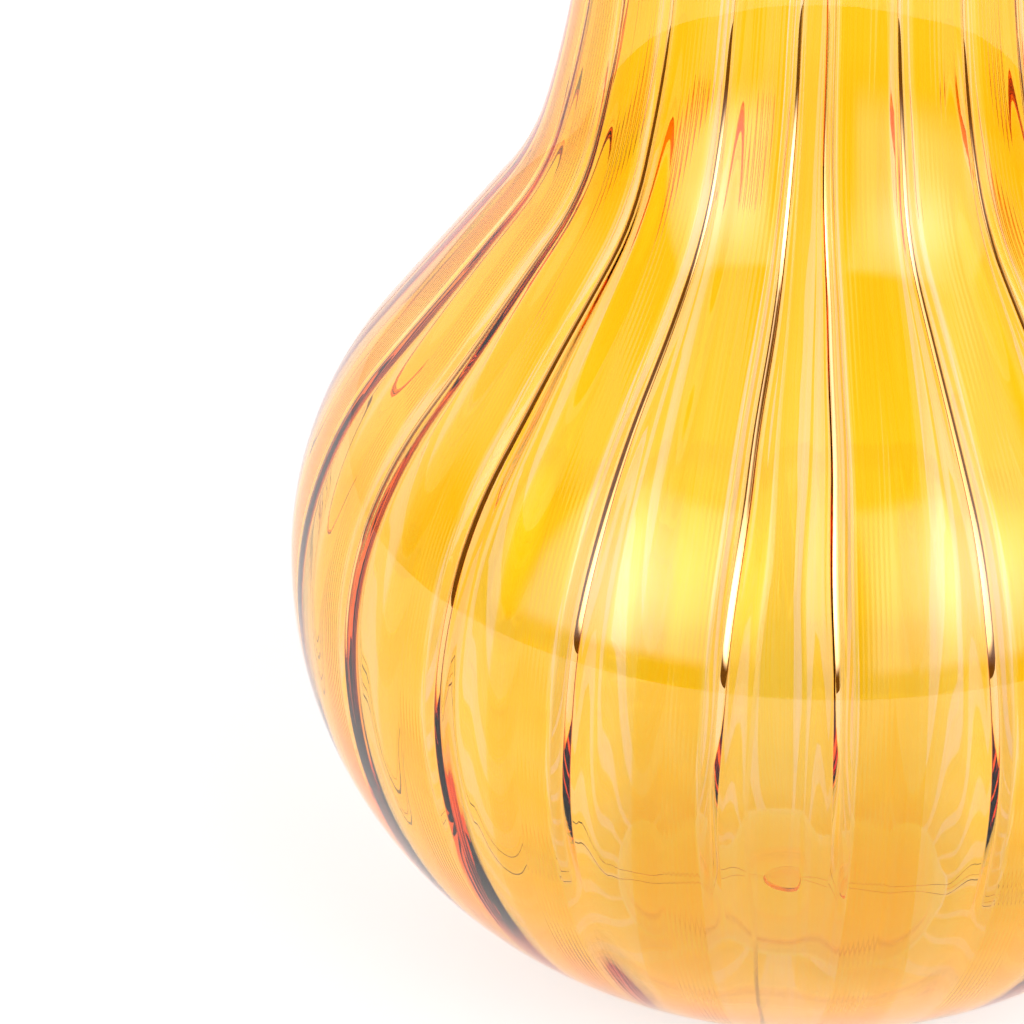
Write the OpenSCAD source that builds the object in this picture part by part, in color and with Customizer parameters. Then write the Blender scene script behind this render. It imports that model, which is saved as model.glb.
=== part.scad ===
// Hand blown art glass vase: a round belly, a narrow waist and a flared lip.
// The wall is built as cane work is: a smooth outer casing is fused over a ring of deep amber rib
// canes, with thinner pale amber web canes between them. A base gather closes the bottom, a polished
// pontil seal marks where the rod held it, and a lip wrap rounds off the mouth.
// Origin: centre of the resting face. +Z is up, through the mouth.

/* [Body] */
// Outside diameter of the belly, the widest ring
belly_d = 196.6; // [180:0.2:220]
// Radius of the heel arc, which turns the resting face up into the bowl
heel_arc = 55; // [45:1:65]
// Radius of the bowl arc, from the heel up to the belly
bowl_arc = 84; // [76:1:92]
// Radius of the shoulder arc, from the belly up to the straight slope
shoulder_arc = 71; // [60:1:80]
// Length of the straight slope from the shoulder arc to the neck arc
slope_l = 36.99; // [27.4:1.37:54.8]

/* [Neck and lip] */
// Radii of the shoulder arc and of the neck arc, the tight hollow at the foot of the neck, added up
curve_sum = 112.34; // [90.42:1.37:124.67]
// Outside diameter of the waist, the narrowest ring of the neck
waist_d = 85.2; // [82:0.2:88]
// Radius of the hollow arc from the waist out to the lip
flare_arc = 50; // [40:1:120]
// Diameter of the mouth, measured at the middle of the lip's wall
lip_d = 116; // [100:1:160]
// Diameter of the lip wrap's round section
lip_wrap_d = 5.4; // [4.6:0.2:8]

/* [Wall and canes] */
// Thickness of the outer casing
casing_t = 1.6; // [1.2:0.1:3]
// Number of rib canes, and of the web canes between them
cane_count = 22; // [8:1:25]
// Width of a rib cane
rib_w = 7.4; // [4:0.1:8]
// Thickness of a rib cane
rib_t = 2.3; // [1:0.1:3]
// Thickness of a web cane
web_t = 0.8; // [0.4:0.1:1]

/* [Base] */
// Thickness of the base gather at its centre
gather_t = 5; // [3:0.1:12]
// Diameter of the kick-up, the shallow hollow under the base
kick_up_d = 28; // [16:1:50]
// Height of the kick-up at its centre
kick_up_h = 1; // [0.6:0.1:1.4]
// Diameter of the pontil seal
pontil_d = 11; // [6:0.5:20]
// Height of the pontil seal's polished face above the resting face
pontil_face_z = 0.3; // [0.1:0.1:0.5]

/* [Hidden] */
$fn = 192;

deep_amber = [0.93, 0.66, 0.10, 0.75];
pale_amber = [0.97, 0.84, 0.52, 0.45];
casing_amber = [0.98, 0.86, 0.62, 0.30];
base_amber = [0.94, 0.62, 0.25, 0.75];

// Angle from one rib cane to the next, and the azimuth of the first web cane, which faces the front
pitch = 360 / cane_count;
front = -90;

// Depths below the outer surface: the back of the web canes and of the rib canes
web_depth = casing_t + web_t;
rib_depth = casing_t + rib_t;

// The outline is a chain of tangent arcs with one straight slope between the shoulder and the neck.
// Each joint is square to the wall, and the slanted joints follow whole-number right triangles,
// 3-4-5 at the heel, 105-88-137 at both ends of the slope and 24-7-25 above the neck arc, so that
// every centre is an exact decimal and neighbouring stretches meet without a step.
down = [0, -1];
heel_joint = [3, -4];
outward = [1, 0];
slope_joint = [105, 88];
slope_climb = [-88, 105];
throat_joint = [24, 7];
belly_r = belly_d / 2;
waist_r = waist_d / 2;
heel_step = (bowl_arc - heel_arc) / 5;
bowl_c = [belly_r - bowl_arc, heel_arc + 4 * heel_step];
heel_c = bowl_c + heel_step * heel_joint;
foot_r = heel_c.x;
shoulder_c = [belly_r - shoulder_arc, bowl_c.y];
across_slope = curve_sum / 137 * slope_joint;
neck_c = shoulder_c + across_slope + slope_l / 137 * slope_climb;
neck_arc = curve_sum - shoulder_arc;
throat_step = neck_c.x - waist_r - neck_arc;
throat_c = neck_c + throat_step * throat_joint;
throat_arc = neck_arc + 25 * throat_step;
flare_c = [waist_r + flare_arc, throat_c.y];

// Two whole-number points on the line that crosses slope_joint at right angles, one unit out
slope_low = [65, -76];
slope_high = [-23, 29];

// The lip wrap's centre, at the middle of the wall where it has opened to the mouth's diameter
lip_arc = flare_arc + rib_depth / 2;
lip_turn = acos((flare_c.x - lip_d / 2) / lip_arc);
lip_joint = [-cos(lip_turn), sin(lip_turn)];
lip_c = flare_c + lip_arc * lip_joint;
top_z = lip_c.y + lip_wrap_d / 2;

// Radii of the balls that shape the kick-up and the crown of the base gather
kick_up_ball_r = (pow(kick_up_d / 2, 2) + pow(kick_up_h, 2)) / (2 * kick_up_h);
crown_h = casing_t + gather_t - rib_depth;
crown_r = (pow(foot_r, 2) + pow(crown_h, 2)) / (2 * crown_h);

function cane_name(kind, k) = str(kind, k < 9 ? "_0" : "_", k + 1);
cane_ids = [0:cane_count - 1];
rib_names = [for (k = cane_ids) cane_name("rib_cane", k)];
web_names = [for (k = cane_ids) cane_name("web_cane", k)];

// A direction lengthened by a whole number until it reaches past every arc
function reach(v) = v * ceil(2 * belly_d / norm(v));

// One arc of a layer of the wall: a ring between two radii, from one joint's direction to the next
module ring_sector(centre, r_in, r_out, from, to) {
    intersection() {
        translate(centre)
            difference() {
                circle(r_out);
                circle(r_in);
            }
        polygon([centre, centre + reach(from), centre + reach(from) + reach(to), centre + reach(to)]);
    }
}

// The straight stretch of a layer of the wall, from the shoulder arc's joint to the neck arc's
module slope_strip(near, far) {
    near_r = shoulder_arc - near;
    far_r = shoulder_arc - far;
    intersection() {
        translate(shoulder_c)
            polygon([near_r * slope_low, near_r * slope_high, far_r * slope_high, far_r * slope_low]);
        polygon([shoulder_c, shoulder_c + across_slope, neck_c, neck_c - across_slope]);
    }
}

// A layer of the wall between two depths below the outer surface, from the foot up to the lip wrap
module wall_layer(near, far) {
    difference() {
        union() {
            ring_sector(heel_c, heel_arc - far, heel_arc - near, down, heel_joint);
            ring_sector(bowl_c, bowl_arc - far, bowl_arc - near, heel_joint, outward);
            ring_sector(shoulder_c, shoulder_arc - far, shoulder_arc - near, outward, slope_joint);
            slope_strip(near, far);
            ring_sector(neck_c, neck_arc + near, neck_arc + far, -slope_joint, -throat_joint);
            ring_sector(throat_c, throat_arc + near, throat_arc + far, -throat_joint, -outward);
            ring_sector(flare_c, flare_arc + near, flare_arc + far, -outward, lip_joint);
        }
        translate(lip_c)
            circle(d = lip_wrap_d);
    }
}

// The same layer over one pitch, centred on +X
module wall_segment(near, far) {
    rotate([0, 0, -pitch / 2])
        rotate_extrude(angle = pitch)
            wall_layer(near, far);
}

// The upright slab that a rib cane's two sides lie on
module rib_slab() {
    translate([0, -rib_w / 2, 0])
        cube([belly_d, rib_w, top_z]);
}

// The shallow hollow under the base, with a flat seat for the pontil seal at its centre
module kick_up() {
    translate([0, 0, kick_up_h - kick_up_ball_r])
        sphere(kick_up_ball_r);
    cylinder(d = pontil_d, h = kick_up_h);
}

module outer_casing() {
    color(casing_amber)
        difference() {
            rotate_extrude() {
                square([foot_r, casing_t]);
                wall_layer(0, casing_t);
            }
            kick_up();
        }
}

module base_gather() {
    color(base_amber)
        rotate_extrude()
            intersection() {
                translate([0, casing_t])
                    square([foot_r, gather_t]);
                translate([0, casing_t + gather_t - crown_r])
                    circle(crown_r);
            }
}

module pontil_seal() {
    color(base_amber)
        translate([0, 0, pontil_face_z])
            cylinder(d = pontil_d, h = kick_up_h - pontil_face_z);
}

module lip_wrap() {
    color(deep_amber)
        rotate_extrude()
            translate(lip_c)
                circle(d = lip_wrap_d);
}

module rib_cane(k) {
    color(deep_amber)
        rotate([0, 0, front + (k + 0.5) * pitch])
            intersection() {
                wall_segment(casing_t, rib_depth);
                rib_slab();
            }
}

module web_cane(k) {
    color(pale_amber)
        rotate([0, 0, front + k * pitch])
            difference() {
                wall_segment(casing_t, web_depth);
                for (side = [-1, 1])
                    rotate([0, 0, side * pitch / 2])
                        rib_slab();
            }
}

outer_casing();
base_gather();
pontil_seal();
lip_wrap();
for (k = cane_ids) rib_cane(k);
for (k = cane_ids) web_cane(k);
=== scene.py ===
"""Hand blown amber vase of cane work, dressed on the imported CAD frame.

The glass is built as it is blown: one clear gather of glass with ribs on its inner face, and inside it the
coloured canes, the base gather and the lip wrap as separate bodies of glass with the same index, so light
bends only where glass meets air. Lengths are metres unless a name says mm.
"""
import math

import bpy
import numpy as np
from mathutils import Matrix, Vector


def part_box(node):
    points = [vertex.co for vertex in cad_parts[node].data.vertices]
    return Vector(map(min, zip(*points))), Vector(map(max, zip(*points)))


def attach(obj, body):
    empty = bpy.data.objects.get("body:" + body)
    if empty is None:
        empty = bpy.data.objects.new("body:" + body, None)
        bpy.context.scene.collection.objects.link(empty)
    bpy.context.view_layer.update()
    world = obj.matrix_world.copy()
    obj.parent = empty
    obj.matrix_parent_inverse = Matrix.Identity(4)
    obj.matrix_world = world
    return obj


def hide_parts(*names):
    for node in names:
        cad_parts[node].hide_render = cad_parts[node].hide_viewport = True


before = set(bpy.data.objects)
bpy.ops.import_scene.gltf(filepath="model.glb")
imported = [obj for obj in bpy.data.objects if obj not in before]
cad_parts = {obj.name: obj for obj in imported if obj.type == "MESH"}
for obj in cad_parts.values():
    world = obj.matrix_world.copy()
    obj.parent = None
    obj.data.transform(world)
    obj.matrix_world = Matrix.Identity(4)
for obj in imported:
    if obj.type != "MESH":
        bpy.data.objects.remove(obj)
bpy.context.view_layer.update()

MM = 0.001

# ---------------------------------------------------------------------------------------------
# Dimensions, read from the frame where a node has them
# ---------------------------------------------------------------------------------------------
BELLY_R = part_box("outer_casing")[1].x
FOOT_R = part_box("base_gather")[1].x
FLOOR_TOP_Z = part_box("base_gather")[1].z
CASING_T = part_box("base_gather")[0].z
LIP_LOW, LIP_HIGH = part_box("lip_wrap")
LIP_BEAD_R = (LIP_HIGH.z - LIP_LOW.z) / 2
LIP_R = LIP_HIGH.x - LIP_BEAD_R
LIP_Z = LIP_HIGH.z - LIP_BEAD_R
PONTIL_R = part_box("pontil_seal")[1].x
PONTIL_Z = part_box("pontil_seal")[0].z
KICK_UP_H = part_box("pontil_seal")[1].z
KICK_UP_R = 14 * MM

# Radii of the outline's arcs from the foot up, and the straight slope between shoulder and neck
HEEL_ARC, BOWL_ARC, SHOULDER_ARC, NECK_ARC, FLARE_ARC = (a * MM for a in (55, 84, 71, 41.34, 50))
SLOPE_L = 36.99 * MM
WAIST_R = 42.6 * MM
RIB_T = 2.3 * MM
RIB_W = 7.4 * MM
CANES = sum(name.startswith("rib_cane_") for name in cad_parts)
PITCH = 2 * math.pi / CANES
FRONT = -math.pi / 2
RIB_DEPTH = CASING_T + RIB_T

# Relief of the inner face. A rib has a flat top and two soft sides; one of them starts with a sharp ridge.
INNER_DEPTH = 3 * MM       # about how deep the inner face lies
TOP_DROP = 0.35 * MM       # how much a rib's top is lower than the flat rib of the frame
TOP_TRIM = 0.4 * MM        # how much less its half width is
TOP_DEPTH = RIB_DEPTH - TOP_DROP
TOP_HALF_W = RIB_W / 2 - TOP_TRIM
TOP_SHARE = 0.27           # largest share of the pitch for half a top
RIDGE_W = 3.2 * MM         # width of a ridge at the very front
RIDGE_SHARE = 0.16         # largest share of the pitch for a ridge
RIDGE_ROOM = 0.85          # largest share of the room beside the top for a ridge
RIB_SHIFT = 0.085          # how far the front ribs stand apart, as a share of the pitch
RIDGE_START = 78 * MM      # the ridges rise from nothing here
RIDGE_RISE = 50 * MM       # to their full height over this length
FALL_W = 5 * MM            # width of a rib's side beyond the ridge, where there is room
FLAT_HALF_W = 0.35 * MM    # smallest half width of a web's flat
WEB_FALL = 0.85 * MM       # how much thinner a web is than a rib's top
SIDE_FADE = 0.8            # share of that fall which the webs at the sides lack
FALL_SHARE = (0.01, 0.2)   # largest ratio of that fall to its width, at the heel and from the belly up
TURNED_BACK = (140, 137)   # sums of angles in degrees between which a ridge turns light back twice
CREST_ROUND = 0.12         # share of half a ridge that its rounded crest takes
RIDGE_FOOT_ROUND = 0.1     # share of half a ridge that its rounded foot takes
FLUTE_COUNT = 8            # fine threads across a rib
FLUTE_H = 0.008 * MM       # their height on the inner face
THREAD_H = 0.4 * MM        # how far the colour in a rib follows them
THREAD_FADE = 0.2          # share of half a top over which they fade out at its edges
POCKET_L = 12 * MM         # length over which the webs run out into the base gather
MELT_L = 7 * MM            # stretch under the lip where the fire has softened the ribs
SKIN = 0.07 * MM           # clear glass over the coloured canes
CORE_END = 0.3             # how far down its plain side a rib's colour reaches
CLEAR_FROM = 0.8           # where that colour ends on top, as a share of half the top, towards the ridge
CLEAR_TO = 0.88            # where the web's colour starts under the ridge
CORE_GAP = 0.03 * MM       # half the gap between two canes
CORE_MARGIN = 0.4 * MM     # clear glass before the ends of the canes
STANDING_GAP = 0.05 * MM   # air under the foot, inside the ring that it stands on
STANDING_W = 2 * MM        # width of that ring
KICK_UP_EDGE = 1 * MM      # between the kick-up and the flat under the foot
BEAD_START = 1.87 * MM     # the last stretch of the outline, where the lip's bead takes over

# Hand-made unevenness: how far each measure drifts along the wall
TOP_DRIFT = 0.05           # as a share of a top's width
RIDGE_DRIFT = 0.07         # as a share of a ridge's width
RIB_SWAY = 0.3 * MM        # a rib's place
RIB_SWELL = 0.12 * MM      # the depth over a rib
WEB_SWELL = 0.08 * MM      # the depth over a web
FULL_SWELL_W = 4 * MM      # the depths drift less where a rib's side is narrower than this

GLASS_IOR = 1.52
SAME_IOR = 1.0             # relative to the clear glass round it, so light goes straight on

# Mesh fineness
ROW_STEP = 2.8 * MM
TOP_COLUMNS = 4 * FLUTE_COUNT
SIDE_COLUMNS = 8
WEB_COLUMNS = 4
CORE_ROW_STEP = 3 * MM
CORE_COLUMNS = 6
KICK_UP_STEPS = 6
BEAD_STEPS = 16


# ---------------------------------------------------------------------------------------------
# The outline, from the foot to the lip: tangent arcs, with a straight slope above the shoulder
# ---------------------------------------------------------------------------------------------
def normal(angle):
    """Outward normal of a wall turned by angle from facing straight down, as (r, z)."""
    return np.array([math.sin(angle), -math.cos(angle)])


def along(angle):
    """Direction up the same wall."""
    return np.array([math.cos(angle), math.sin(angle)])


def make_stretches():
    """The outline's stretches as (length, start point, first angle, last angle)."""
    level = math.pi / 2
    heel_turn = math.atan2(3, 4)
    slope_turn = level + math.atan2(88, 105)
    throat_turn = level + math.atan2(7, 24)
    point = np.array([FOOT_R, 0.0])
    stretches = []

    def add(length, first, last):
        """Adds a stretch and moves point to its end."""
        nonlocal point
        stretches.append((length, point, first, last))
        turn = last - first
        chord = length if turn == 0 else 2 * length / abs(turn) * math.sin(abs(turn) / 2)
        point = point + chord * along((first + last) / 2)

    add(HEEL_ARC * heel_turn, 0.0, heel_turn)
    add(BOWL_ARC * (level - heel_turn), heel_turn, level)
    add(SHOULDER_ARC * (slope_turn - level), level, slope_turn)
    add(SLOPE_L, slope_turn, slope_turn)
    add(NECK_ARC * (slope_turn - throat_turn), slope_turn, throat_turn)
    neck_centre_r = point[0] + NECK_ARC * math.sin(throat_turn)
    # the throat takes the wall from the neck's lean to upright, just where it reaches the waist
    throat_arc = NECK_ARC + (neck_centre_r - WAIST_R - NECK_ARC) / (1 - math.sin(throat_turn))
    add(throat_arc * (throat_turn - level), throat_turn, level)
    lip_turn = math.atan2(LIP_Z - point[1], WAIST_R + FLARE_ARC - LIP_R)
    add(FLARE_ARC * lip_turn, level, level - lip_turn)
    return stretches


STRETCHES = make_stretches()
LENGTH = sum(stretch[0] for stretch in STRETCHES)
BELLY_S = sum(stretch[0] for stretch in STRETCHES[:2])
HEEL_L = STRETCHES[0][0]


def outline(s):
    """Point and outward normal on the outer face, a length s along it from the foot, as two (r, z) pairs."""
    for length, start, first, last in STRETCHES:
        if s <= length or last == STRETCHES[-1][3]:
            angle = first + (last - first) * s / length
            turn = angle - first
            chord = s if turn == 0 else 2 * s / turn * math.sin(turn / 2)
            return start + chord * along((first + angle) / 2), normal(angle)
        s -= length


# ---------------------------------------------------------------------------------------------
# Shape of the inner face
# ---------------------------------------------------------------------------------------------
def wobble(seed, s, wave=0.11):
    """Hand-made unevenness: a smooth value between -1 and 1 that drifts along the wall.

    Each measure of each rib has its own seed. wave is the length of the slowest wave.
    """
    a, b, c = (math.fmod(math.sin(seed * k) * 43758.5453, 2 * math.pi) for k in (12.9898, 78.233, 37.719))
    turn = 2 * math.pi * s / wave
    return 0.5 * math.sin(turn + a) + 0.3 * math.sin(1.7 * turn + b) + 0.2 * math.sin(3.1 * turn + c)


def smooth(x):
    """A step from 0 to 1 with soft ends, as x goes from 0 to 1."""
    x = min(max(x, 0.0), 1.0)
    return x * x * (3 - 2 * x)


def inner_r(s):
    """About how far the inner face is from the axis."""
    return outline(s)[0][0] - INNER_DEPTH


def ridge_side(k):
    """The side of rib k that has the ridge: the one that is nearer to the front."""
    return -1 if k < CANES / 2 else 1


def slant(k):
    """How far rib k is turned from the front, as the sine of the angle."""
    return abs(math.sin((k + 0.5) * PITCH))


def rib_shape(k, s):
    """Rib k at s: the azimuth of its middle, and the angles of half its top, its ridge and one side."""
    r = inner_r(s)
    pitch = PITCH * r
    half = min(TOP_HALF_W, TOP_SHARE * pitch) * (1 + TOP_DRIFT * wobble(k + 40, s))
    room = pitch / 2 - half - FLAT_HALF_W
    ridge = RIDGE_W * (1 + slant(k)) * math.sqrt(1 - slant(k) ** 2)
    ridge = min(ridge, RIDGE_SHARE * pitch, RIDGE_ROOM * room) * (1 + RIDGE_DRIFT * wobble(k + 60, s))
    side = min(ridge + FALL_W, room)
    turn = (k + 0.5) * PITCH
    middle = FRONT + turn + RIB_SHIFT * PITCH * math.cos(turn / 2) + RIB_SWAY * wobble(k + 1, s) / r
    return middle, half / r, ridge / r, side / r


RIDGE_STEPS = 200


def make_ridge(k):
    """Heights of half a ridge on rib k from its crest to its foot, for a ridge that is 2 wide.

    Its faces have the slopes at which light that comes in from the front is turned back twice.
    """
    inside = math.degrees(math.asin(slant(k) / GLASS_IOR))
    crest = (TURNED_BACK[0] - inside) / 4
    foot = (TURNED_BACK[1] - inside) / 3
    rise = []
    for i in range(RIDGE_STEPS):
        out = (i + 0.5) / RIDGE_STEPS
        rounding = smooth(out / CREST_ROUND) * smooth((1 - out) / RIDGE_FOOT_ROUND)
        rise.append(math.tan(math.radians(crest + (foot - crest) * out)) * rounding)
    return np.append(np.cumsum(rise[::-1])[::-1] / RIDGE_STEPS, 0)


RIDGES = [make_ridge(k) for k in range(CANES)]


def ridge_growth(s):
    """How far the ridges have grown at s, from 0 to 1."""
    return smooth((s - RIDGE_START) / RIDGE_RISE)


def ridge_height(k, place, width, s):
    """Height of the ridge of rib k, which is width wide, at a place across it, from 0 to 1."""
    out = abs(2 * place - 1) * RIDGE_STEPS
    height = width / 2 * float(np.interp(out, range(RIDGE_STEPS + 1), RIDGES[k]))
    return height * ridge_growth(s)


def plain_side_w(k, s):
    """Width of a side of rib k beyond the ridge."""
    _, _, ridge, side = rib_shape(k, s)
    return (side - ridge) * inner_r(s)


def swell(k, s):
    """How much of their drift the depths near rib k have: less where its sides are narrow."""
    return min(1, plain_side_w(k, s) / FULL_SWELL_W)


def web_depth(k, s):
    """Depth of the inner face over web k."""
    share = FALL_SHARE[0] + (FALL_SHARE[1] - FALL_SHARE[0]) * smooth((s - HEEL_L) / (BELLY_S - HEEL_L))
    fall = min(WEB_FALL, share * plain_side_w(k, s)) * (1 - SIDE_FADE * slant(k) ** 2)
    return TOP_DEPTH - fall + WEB_SWELL * swell(k, s) * wobble(k + 120, s)


def rib_depth(k, s):
    """Depth of the inner face over the top of rib k."""
    return TOP_DEPTH + RIB_SWELL * swell(k, s) * wobble(k + 80, s)


def ends(depth, s):
    """The same depth, brought to a rib's full depth at the base gather and where the fire melted the lip."""
    low = 1 - smooth(s / POCKET_L)
    high = smooth((s - (LENGTH - MELT_L)) / (MELT_L - LIP_BEAD_R))
    return depth + (RIB_DEPTH - depth) * max(low, high)


def flute(t):
    """The threads across a rib's top, between -1 and 1, where t runs from -1 to 1."""
    return math.cos(math.pi * FLUTE_COUNT * t)


def top_columns(k, s, first=-1, last=1):
    """Columns over the top of rib k as (azimuth, depth, t), where t is -1 and 1 at its edges."""
    middle, half, _, _ = rib_shape(k, s)
    return [(middle + half * t, rib_depth(k, s), t) for t in np.linspace(first, last, TOP_COLUMNS + 1)]


def side_columns(k, s, sign, places, with_ridge=True):
    """Columns down the side of rib k, on the side that sign points to, as (azimuth, depth).

    places run from 0 at the top's edge to 1 at the ridge's end, and on to 2 at the foot of the side.
    """
    middle, half, ridge, side = rib_shape(k, s)
    low = web_depth(k if sign < 0 else (k + 1) % CANES, s)
    high = rib_depth(k, s)
    ridged = sign == ridge_side(k)
    columns = []
    for place in places:
        x = ridge * place if place < 1 else ridge + (side - ridge) * (place - 1)
        growth = ridge_growth(s) if ridged else 0
        way_down = growth * max(place - 1, 0) + (1 - growth) * x / side
        depth = high + (low - high) * smooth(way_down)
        if with_ridge and ridged and place < 1:
            depth += ridge_height(k, place, ridge * inner_r(s), s)
        columns.append((middle + sign * (half + x), depth))
    return columns


def web_columns(k, s):
    """Columns over the flat of web k, which lies before rib k, as (azimuth, depth)."""
    before = (k - 1) % CANES
    middle, half, _, side = rib_shape(before, s)
    start = middle + half + side - (2 * math.pi if k == 0 else 0)
    middle, half, _, side = rib_shape(k, s)
    end = middle - half - side
    return [(start + (end - start) * i / WEB_COLUMNS, web_depth(k, s)) for i in range(WEB_COLUMNS + 1)]


# ---------------------------------------------------------------------------------------------
# Mesh helpers
# ---------------------------------------------------------------------------------------------
def polar(r, z, azimuth):
    """The point at a radius, height and azimuth."""
    return (r * math.cos(azimuth), r * math.sin(azimuth), z)


def on_wall(s, azimuth, depth):
    """The point of the wall at a depth below the outer face."""
    p, n = outline(s)
    r, z = p - depth * n
    return polar(r, z, azimuth)


def new_piece(name, verts, faces, uvs, material):
    """A smooth-shaded mesh object; uvs holds one (u, v) for each vertex."""
    mesh = bpy.data.meshes.new(name)
    mesh.from_pydata(verts, [], faces)
    layer = mesh.uv_layers.new(name="Wall")
    corner_vertex = np.zeros(len(mesh.loops), np.int32)
    mesh.loops.foreach_get("vertex_index", corner_vertex)
    layer.data.foreach_set("uv", np.asarray(uvs, np.float32)[corner_vertex].ravel())
    mesh.polygons.foreach_set("use_smooth", [True] * len(mesh.polygons))
    mesh.materials.append(material)
    mesh.update()
    piece = bpy.data.objects.new(name, mesh)
    bpy.context.scene.collection.objects.link(piece)
    return piece


def stand_for(piece, node):
    """The piece rides on the vase's body and takes the place of its CAD node."""
    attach(piece, "root")
    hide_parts(node)


def ring_faces(rings, columns):
    """Quads between rings of columns vertices, each ring closed on itself."""
    return [
        (i * columns + j, i * columns + (j + 1) % columns,
         (i + 1) * columns + (j + 1) % columns, (i + 1) * columns + j)
        for i in range(rings - 1) for j in range(columns)
    ]


def bar(name, loops, uv_loops, material):
    """A closed bar through cross-section loops of equal length, capped at both ends."""
    n = len(loops[0])
    verts = [p for loop in loops for p in loop]
    uvs = [p for loop in uv_loops for p in loop]
    faces = ring_faces(len(loops), n)
    faces.append(tuple(reversed(range(n))))
    faces.append(tuple(range(len(verts) - n, len(verts))))
    return new_piece(name, verts, faces, uvs, material)


def revolve(name, profile, columns, material):
    """A closed body turned from an (r, z) profile that starts and ends on the axis."""
    inner = profile[1:-1]
    verts = [polar(r, z, 2 * math.pi * j / columns) for r, z in inner for j in range(columns)]
    uvs = [(2 * math.pi * j / columns * BELLY_R / MM, r / MM) for r, _ in inner for j in range(columns)]
    faces = ring_faces(len(inner), columns)
    first, last = len(verts), len(verts) + 1
    verts += [(0, 0, profile[0][1]), (0, 0, profile[-1][1])]
    uvs += [(0, 0), (0, 0)]
    top = (len(inner) - 1) * columns
    faces += [(first, (j + 1) % columns, j) for j in range(columns)]
    faces += [(last, top + j, top + (j + 1) % columns) for j in range(columns)]
    return new_piece(name, verts, faces, uvs, material)


# ---------------------------------------------------------------------------------------------
# Materials
# ---------------------------------------------------------------------------------------------
STREAK_RANGE = (0.36, 0.64)    # values of the noise at which a streak is palest and deepest
RIPPLE_SCALES = (0.09, 0.05)   # across and along the wall


def node_material(name):
    """A new material with its nodes, links and Principled shader."""
    material = bpy.data.materials.new(name)
    material.use_nodes = True
    tree = material.node_tree
    return material, tree.nodes, tree.links, tree.nodes["Principled BSDF"]


def streak_texture(nodes, links, across, along, detail=3.0):
    """Noise drawn out along the wall: across and along are its scales per millimetre."""
    uv = nodes.new("ShaderNodeUVMap")
    uv.uv_map = "Wall"
    mapping = nodes.new("ShaderNodeMapping")
    mapping.inputs["Scale"].default_value = (across, along, 1)
    noise = nodes.new("ShaderNodeTexNoise")
    noise.inputs["Scale"].default_value = 1.0
    noise.inputs["Detail"].default_value = detail
    links.new(uv.outputs["UV"], mapping.inputs["Vector"])
    links.new(mapping.outputs["Vector"], noise.inputs["Vector"])
    return noise


def ramp(nodes, links, value, stops):
    """A colour ramp over value; stops are two pairs (position, colour)."""
    node = nodes.new("ShaderNodeValToRGB")
    for element, (position, colour) in zip(node.color_ramp.elements, stops):
        element.position = position
        element.color = (*colour, 1)
    links.new(value, node.inputs["Fac"])
    return node


def glass(name, ior, absorption, streaks, tints, waviness=0.0):
    """Glass that bends light by ior and takes off absorption, the loss per metre in red, green and blue.

    streaks are the scales of the streaks across and along the wall, and tints the palest and deepest colour
    that they give the surface. waviness is the height in metres of the soft ripples of the hand-made face.
    """
    material, nodes, links, shader = node_material(name)
    shader.inputs["Transmission Weight"].default_value = 1.0
    shader.inputs["IOR"].default_value = ior
    shader.inputs["Roughness"].default_value = 0.0
    noise = streak_texture(nodes, links, *streaks)
    colours = ramp(nodes, links, noise.outputs["Fac"], zip(STREAK_RANGE, tints))
    links.new(colours.outputs["Color"], shader.inputs["Base Color"])
    if waviness:
        ripple = streak_texture(nodes, links, *RIPPLE_SCALES, detail=1.5)
        bump = nodes.new("ShaderNodeBump")
        bump.inputs["Strength"].default_value = 1.0
        bump.inputs["Distance"].default_value = waviness
        links.new(ripple.outputs["Fac"], bump.inputs["Height"])
        links.new(bump.outputs["Normal"], shader.inputs["Normal"])
    loss = nodes.new("ShaderNodeVolumeAbsorption")
    density = max(absorption)
    loss.inputs["Density"].default_value = density
    loss.inputs["Color"].default_value = (*[1 - a / density for a in absorption], 1)
    links.new(loss.outputs["Volume"], nodes["Material Output"].inputs["Volume"])
    return material


clear_glass = glass("casing_glass", GLASS_IOR, absorption=(1, 42, 120), streaks=(0.9, 0.02),
                    tints=((1.0, 1.0, 1.0), (1.0, 0.995, 0.98)), waviness=0.01 * MM)
deep_glass = glass("deep_amber_glass", SAME_IOR, absorption=(1, 60, 880), streaks=(1.0, 0.012),
                   tints=((1.0, 1.0, 1.0), (1.0, 0.975, 0.62)))
pale_glass = glass("pale_amber_glass", SAME_IOR, absorption=(1, 30, 170), streaks=(0.9, 0.012),
                   tints=((1.0, 1.0, 1.0), (1.0, 0.99, 0.8)))
base_glass = glass("base_amber_glass", SAME_IOR, absorption=(1, 12, 300), streaks=(0.25, 0.25),
                   tints=((1.0, 1.0, 0.98), (1.0, 0.985, 0.9)))
seal_glass = glass("pontil_glass", GLASS_IOR, absorption=(2, 60, 300), streaks=(0.5, 0.5),
                   tints=((1.0, 0.98, 0.93), (1.0, 0.92, 0.78)))


# ---------------------------------------------------------------------------------------------
# The pieces
# ---------------------------------------------------------------------------------------------
def wall_rows(first, last, step):
    """Places along the outline from first to last, about a step apart."""
    count = max(2, round((last - first) / step) + 1)
    return [first + (last - first) * i / (count - 1) for i in range(count)]


# where the columns across a ridge lie, closest at its crest and its feet
RIDGE_PLACES = [0.5 + 0.5 * q for q in (-1, -0.93, -0.85, -0.65, -0.45, -0.28, -0.15, -0.07)]
RIDGE_PLACES += [0.5] + [1 - p for p in reversed(RIDGE_PLACES)]
SIDE_PLACES = RIDGE_PLACES + [1 + (j + 1) / SIDE_COLUMNS for j in range(SIDE_COLUMNS)]


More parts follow.
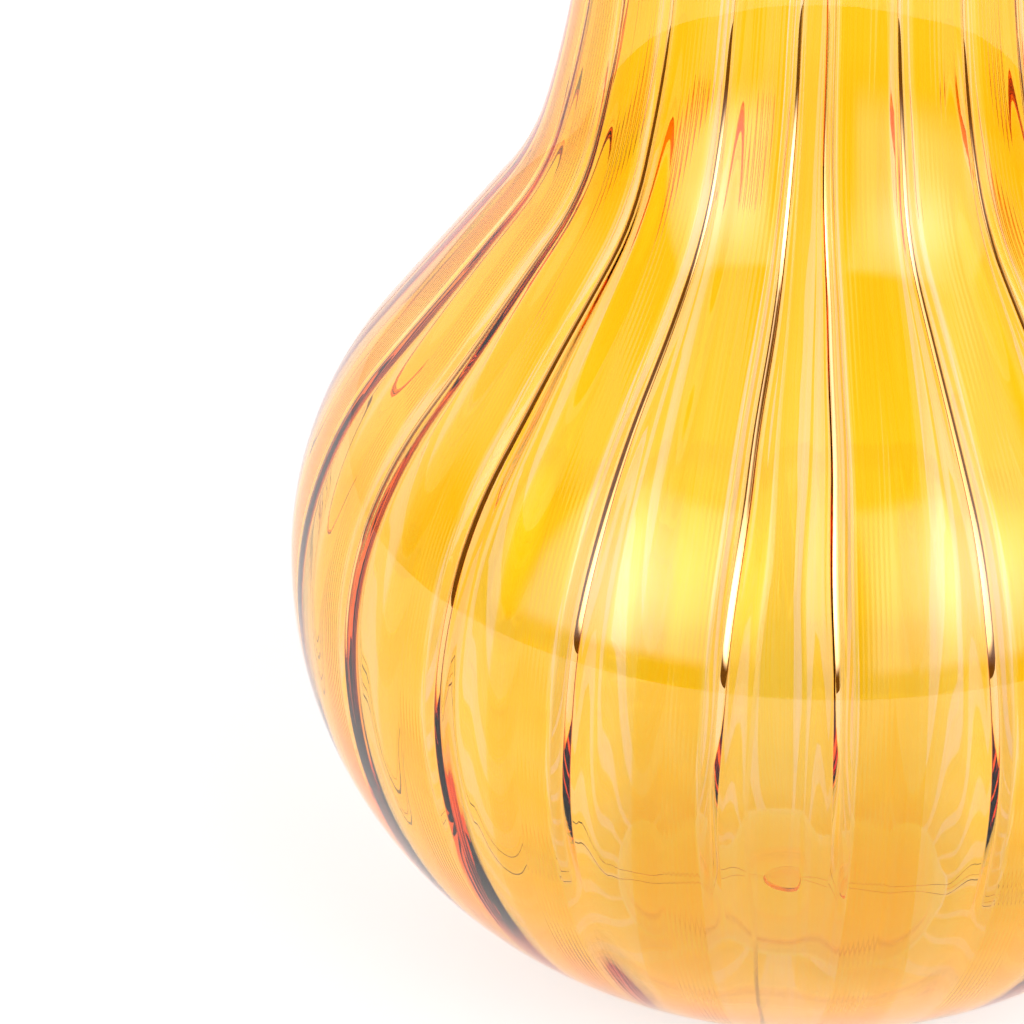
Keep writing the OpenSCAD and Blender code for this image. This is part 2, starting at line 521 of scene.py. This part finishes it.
def wall_columns(s):
    """Every column round the wall at s, as (azimuth, depth of the inner face)."""
    columns = []
    for k in range(CANES):
        columns += web_columns(k, s)[:-1]
        columns += side_columns(k, s, -1, SIDE_PLACES[:0:-1])
        columns += [(azimuth, depth + FLUTE_H * flute(t)) for azimuth, depth, t in top_columns(k, s)[:-1]]
        columns += side_columns(k, s, 1, SIDE_PLACES[:-1])
    return [(azimuth, ends(depth, s)) for azimuth, depth in columns]


def kick_up_z(r):
    """Height of the underside in the kick-up."""
    ball = (KICK_UP_R ** 2 + KICK_UP_H ** 2) / (2 * KICK_UP_H)
    return KICK_UP_H - ball + math.sqrt(ball ** 2 - r ** 2)


CROWN_STEP_R = 26.5 * MM
CROWN_STEP_W = 2 * MM
CROWN_STEP_H = 0.15 * MM
# rings of the glass floor, closest at the step
CROWN_RADII = [i * MM for i in (3, 6, 9, 12, 15, 18, 21, 24, 26, 26.5, 27, 27.5, 28, 28.5, 29, 30, 31)]


def crown_z(r):
    """Height of the glass floor inside the vase: a shallow dome with a faint step round it."""
    dome = (FLOOR_TOP_Z - RIB_DEPTH - CROWN_STEP_H) * (1 - (r / FOOT_R) ** 2)
    return RIB_DEPTH + dome + CROWN_STEP_H * (1 - smooth((r - CROWN_STEP_R) / CROWN_STEP_W))


def make_casing():
    """The clear gather: the smooth outer face, the foot, the lip and the ribbed inner face."""
    rows = wall_rows(0.0, LENGTH - BEAD_START, ROW_STEP)
    column_sets = [wall_columns(s) for s in rows]
    feet, tops = ([azimuth for azimuth, _ in column_sets[i]] for i in (0, -1))
    rings, uvs = [], []

    def add(points, place):
        """Adds a ring of points, with place as its measure along the wall in the texture."""
        rings.append(points)
        uvs.extend((azimuth * BELLY_R / MM, place / MM) for azimuth in feet)

    for r in [KICK_UP_R * i / KICK_UP_STEPS for i in range(1, KICK_UP_STEPS + 1)]:
        add([polar(r, max(kick_up_z(r), STANDING_GAP), azimuth) for azimuth in feet], r - FOOT_R)
    for r in (KICK_UP_R + KICK_UP_EDGE, FOOT_R - STANDING_W):
        add([polar(r, STANDING_GAP, azimuth) for azimuth in feet], r - FOOT_R)
    for s, columns in zip(rows, column_sets):
        add([on_wall(s, azimuth, 0.0) for azimuth, _ in columns], s)
    # the bead of the lip, from the outer face over the top to the inner face
    n = outline(LENGTH)[1]
    up = np.array([-n[1], n[0]])
    low = math.acos(RIB_DEPTH / 2 / LIP_BEAD_R)
    for i in range(1, BEAD_STEPS):
        a = -low + (math.pi + 2 * low) * i / BEAD_STEPS
        r, z = np.array([LIP_R, LIP_Z]) + LIP_BEAD_R * (math.cos(a) * n + math.sin(a) * up)
        add([polar(r, z, azimuth) for azimuth in tops], LENGTH)
    for s, columns in reversed(list(zip(rows, column_sets))):
        add([on_wall(s, azimuth, depth) for azimuth, depth in columns], s)
    for r in reversed(CROWN_RADII):
        add([polar(r, crown_z(r), azimuth) for azimuth in feet], r - FOOT_R)

    n_columns = len(feet)
    verts = [p for ring in rings for p in ring]
    faces = ring_faces(len(rings), n_columns)
    bottom, top = len(verts), len(verts) + 1
    verts += [(0, 0, kick_up_z(0)), (0, 0, FLOOR_TOP_Z)]
    uvs += [(0, 0), (0, 0)]
    last = (len(rings) - 1) * n_columns
    faces += [(bottom, (j + 1) % n_columns, j) for j in range(n_columns)]
    faces += [(top, last + j, last + (j + 1) % n_columns) for j in range(n_columns)]
    return new_piece("casing_glass_body", verts, faces, uvs, clear_glass)


def cane(name, k, back_of, material):
    """A coloured cane inside the clear glass: its outer side lies at the casing's depth.

    back_of gives the cane's inner side at s as (azimuth, depth) columns.
    """
    loops, uv_loops = [], []
    for s in wall_rows(CORE_MARGIN, LENGTH - LIP_BEAD_R - CORE_MARGIN, CORE_ROW_STEP):
        back = [(azimuth, ends(depth, s) - SKIN) for azimuth, depth in back_of(k, s)]
        gap = CORE_GAP / inner_r(s)
        first, last = back[0][0] + gap, back[-1][0] - gap
        back = [(min(max(azimuth, first), last), depth) for azimuth, depth in back]
        front = [(last + (first - last) * i / CORE_COLUMNS, CASING_T) for i in range(CORE_COLUMNS + 1)]
        loop = (back + front)[::-1]
        loops.append([on_wall(s, azimuth, depth) for azimuth, depth in loop])
        uv_loops.append([(azimuth * BELLY_R / MM, s / MM) for azimuth, _ in loop])
    return bar(name, loops, uv_loops, material)


def rib_back(k, s):
    """The inner side of a rib's colour: part of its plain side, and its threads over the top."""
    reach = 1 - (1 - CLEAR_FROM) * ridge_growth(s)
    first, last = (-1, reach) if ridge_side(k) > 0 else (-reach, 1)
    top = [
        (azimuth, depth - FLUTE_H - THREAD_H * (0.5 - 0.5 * flute(t)) * smooth((1 - abs(t)) / THREAD_FADE))
        for azimuth, depth, t in top_columns(k, s, first, last)
    ]
    plain = [(1 + CORE_END) * i / CORE_COLUMNS for i in range(1, CORE_COLUMNS + 1)]
    if ridge_side(k) > 0:
        return side_columns(k, s, -1, plain[::-1]) + top
    return top + side_columns(k, s, 1, plain)


def web_start(k, s, sign):
    """Where the colour of a web starts on one side of rib k, as a place."""
    return CLEAR_TO * ridge_growth(s) if sign == ridge_side(k) else 1 + CORE_END


def web_back(k, s):
    """The inner side of a web's colour: the foot of one rib, the flat, and the foot of the next."""
    before = (k - 1) % CANES
    round_trip = 2 * math.pi if k == 0 else 0
    start, end = web_start(before, s, 1), web_start(k, s, -1)
    onto_flat = [start + (2 - start) * i / CORE_COLUMNS for i in range(CORE_COLUMNS)]
    off_flat = [2 + (end - 2) * i / CORE_COLUMNS for i in range(1, CORE_COLUMNS + 1)]
    left = [(azimuth - round_trip, depth)
            for azimuth, depth in side_columns(before, s, 1, onto_flat, with_ridge=False)]
    return left + web_columns(k, s) + side_columns(k, s, -1, off_flat, with_ridge=False)


def make_base_gather():
    """The disc of colour in the floor of the vase, with a bevel round its lower edge."""
    edge = FOOT_R - 0.15 * MM
    bevel = 0.6 * MM
    outside = [(r, CASING_T) for r in (0, edge / 2, edge - bevel)]
    inside = [(r, crown_z(r) - SKIN) for r in (edge, *reversed(CROWN_RADII), 0)]
    return revolve("base_gather_core", outside + [(edge, CASING_T + bevel)] + inside, 120, base_glass)


def make_pontil_seal():
    """The button under the base, with a rounded rim and a slightly hollow polished face."""
    gap = 0.03 * MM
    rim = 0.25 * MM
    hollow = 0.12 * MM
    below = [(PONTIL_R * x, PONTIL_Z + hollow * (1 - x * x)) for x in (0, 0.3, 0.6, 0.85)]
    side = [(PONTIL_R - rim * (1 - math.sin(a)), PONTIL_Z + rim * (1 - math.cos(a)))
            for a in (0.3, 0.8, 1.2, math.pi / 2)]
    above = [(PONTIL_R * x, kick_up_z(PONTIL_R * x) - gap) for x in (0.98, 0.7, 0.4, 0)]
    return revolve("pontil_button", below + side + above, 72, seal_glass)


def make_lip_wrap():
    """The ring of deep colour in the lip."""
    columns, around = 220, 18
    margin = 0.05 * MM
    core = LIP_BEAD_R - SKIN - margin
    verts, uvs = [], []
    for i in range(columns):
        azimuth = 2 * math.pi * i / columns
        for j in range(around):
            a = 2 * math.pi * j / around
            verts.append(polar(LIP_R + core * math.cos(a), LIP_Z + core * math.sin(a), azimuth))
            uvs.append((j, azimuth * LIP_R / MM))
    faces = [
        (i * around + j, ((i + 1) % columns) * around + j,
         ((i + 1) % columns) * around + (j + 1) % around, i * around + (j + 1) % around)
        for i in range(columns) for j in range(around)
    ]
    return new_piece("lip_wrap_core", verts, faces, uvs, deep_glass)


def make_vase():
    """Every piece, each in place of its CAD node."""
    stand_for(make_casing(), "outer_casing")
    stand_for(make_base_gather(), "base_gather")
    stand_for(make_pontil_seal(), "pontil_seal")
    stand_for(make_lip_wrap(), "lip_wrap")
    for k in range(CANES):
        stand_for(cane(f"rib_core_{k + 1:02d}", k, rib_back, deep_glass), f"rib_cane_{k + 1:02d}")
        stand_for(cane(f"web_core_{k + 1:02d}", k, web_back, pale_glass), f"web_cane_{k + 1:02d}")


# ---------------------------------------------------------------------------------------------
# Studio: pale floor, softboxes in the world's light, camera
# ---------------------------------------------------------------------------------------------
FLOOR_SIZE = 24.0
FLOOR_CELLS = 8
FLOOR_GREYS = (0.62, 0.63)
FLOOR_GLOW = 0.64   # light of its own, because the floor round the vase has almost no shadow


def make_floor():
    """The pale matt table that the vase stands on."""
    line = FLOOR_CELLS + 1
    verts = [(FLOOR_SIZE * (i / FLOOR_CELLS - 0.5), FLOOR_SIZE * (j / FLOOR_CELLS - 0.5), 0.0)
             for j in range(line) for i in range(line)]
    corners = [j * line + i for j in range(FLOOR_CELLS) for i in range(FLOOR_CELLS)]
    faces = [(corner, corner + 1, corner + line + 1, corner + line) for corner in corners]
    mesh = bpy.data.meshes.new("studio_floor")
    mesh.from_pydata(verts, [], faces)
    material, nodes, links, shader = node_material("floor_paint")
    coordinates = nodes.new("ShaderNodeTexCoord")
    noise = nodes.new("ShaderNodeTexNoise")
    noise.inputs["Scale"].default_value = 30.0
    links.new(coordinates.outputs["Object"], noise.inputs["Vector"])
    stops = [(position, (grey, grey, grey)) for position, grey in zip((0.3, 0.7), FLOOR_GREYS)]
    paint = ramp(nodes, links, noise.outputs["Fac"], stops)
    links.new(paint.outputs["Color"], shader.inputs["Base Color"])
    shader.inputs["Roughness"].default_value = 1.0
    shader.inputs["Specular IOR Level"].default_value = 0.0
    shader.inputs["Emission Color"].default_value = (1, 1, 1, 1)
    shader.inputs["Emission Strength"].default_value = FLOOR_GLOW
    mesh.materials.append(material)
    floor = bpy.data.objects.new("studio_floor", mesh)
    bpy.context.scene.collection.objects.link(floor)


# Softboxes and the bright backdrop, as patches of sky: azimuth range, elevation range, soft edge,
# brightness at the edge, centre of the bright core, its reach and what it adds. Angles are degrees, azimuth
# is counted from +X towards +Y.
PATCHES = [
    ((-150, -107), (7, 50), 2.5, 1.4, (-127, 24), 28, 3.8),   # left softbox, in front of the vase
    ((-73, -16), (7, 52), 2.5, 1.4, (-48, 31), 28, 3.8),      # right softbox
    ((10, 170), (-5, 58), 14.0, 1.1, (90, 20), 60, 0.0),      # backdrop behind the vase
]
CORE_PEAK = 1 / 16              # highest value of two multiplied bands that have no width
LAMP_COLOUR = (1.0, 0.95, 1.0)
ROOM = (0.13, 0.06, 0.015)      # light of the dim, warm room between the softboxes


def make_world():
    """The softboxes and the room, as one sky."""
    world = bpy.data.worlds.new("studio_light")
    bpy.context.scene.world = world
    world.use_nodes = True
    nodes, links = world.node_tree.nodes, world.node_tree.links

    def maths(operation, *values):
        """Output of a Math node; each value is a number or a socket."""
        node = nodes.new("ShaderNodeMath")
        node.operation = operation
        for socket, value in zip(node.inputs, values):
            if isinstance(value, (int, float)):
                socket.default_value = value
            else:
                links.new(value, socket)
        return node.outputs[0]

    def band(value, low, high, edge):
        """1 between low and high, falling to 0 over a soft edge."""
        parts = []
        for start, end in ((low - edge, low + edge), (high + edge, high - edge)):
            node = nodes.new("ShaderNodeMapRange")
            node.interpolation_type = "SMOOTHSTEP"
            node.inputs["From Min"].default_value = start
            node.inputs["From Max"].default_value = end
            links.new(value, node.inputs["Value"])
            parts.append(node.outputs[0])
        return maths("MULTIPLY", *parts)

    direction = nodes.new("ShaderNodeTexCoord").outputs["Generated"]
    split = nodes.new("ShaderNodeSeparateXYZ")
    links.new(direction, split.inputs[0])
    azimuth = maths("MULTIPLY", maths("ARCTAN2", split.outputs[1], split.outputs[0]), math.degrees(1))
    elevation = maths("MULTIPLY", maths("ARCSINE", split.outputs[2]), math.degrees(1))
    total = 0.0
    for azimuths, elevations, edge, level, (core_az, core_el), core_reach, core in PATCHES:
        patch = maths("MULTIPLY", band(azimuth, *azimuths, edge), band(elevation, *elevations, edge))
        hot = maths("MULTIPLY", band(azimuth, core_az, core_az, core_reach),
                    band(elevation, core_el, core_el, core_reach))
        glow = maths("MULTIPLY_ADD", hot, core / CORE_PEAK, level)
        total = maths("MULTIPLY_ADD", patch, glow, total)
    lamps, room = nodes["Background"], nodes.new("ShaderNodeBackground")
    links.new(total, lamps.inputs["Strength"])
    lamps.inputs["Color"].default_value = (*LAMP_COLOUR, 1)
    room.inputs["Color"].default_value = (*ROOM, 1)
    both = nodes.new("ShaderNodeAddShader")
    links.new(lamps.outputs[0], both.inputs[0])
    links.new(room.outputs[0], both.inputs[1])
    links.new(both.outputs[0], nodes["World Output"].inputs["Surface"])


# The camera stands in front of the vase, a little to its right, and looks down past its left side
CAMERA_DISTANCE = 0.5878   # from the axis, level
CAMERA_HEIGHT = 0.3387
CAMERA_TURN = math.radians(1.74)
LOOK_LEFT = math.radians(7.206)
LOOK_DOWN = math.radians(23.342)
CAMERA_LENS = 117.1


def make_camera():
    """The scene's camera."""
    data = bpy.data.cameras.new("camera")
    data.lens = CAMERA_LENS
    data.sensor_width = 36.0
    camera = bpy.data.objects.new("camera", data)
    x, y = CAMERA_DISTANCE * math.sin(CAMERA_TURN), -CAMERA_DISTANCE * math.cos(CAMERA_TURN)
    camera.location = (x, y, CAMERA_HEIGHT)
    camera.rotation_euler = (math.pi / 2 - LOOK_DOWN, 0, LOOK_LEFT)
    bpy.context.scene.collection.objects.link(camera)
    bpy.context.scene.camera = camera


def set_light_paths():
    """Glass behind glass needs many bounces; the view transform keeps the white floor white."""
    scene = bpy.context.scene
    cycles = scene.cycles
    cycles.max_bounces = 40
    cycles.transmission_bounces = 40
    cycles.glossy_bounces = 16
    cycles.diffuse_bounces = 4
    cycles.transparent_max_bounces = 16
    cycles.sample_clamp_indirect = 12.0
    scene.view_settings.view_transform = "Standard"


make_vase()
make_floor()
make_world()
make_camera()
set_light_paths()
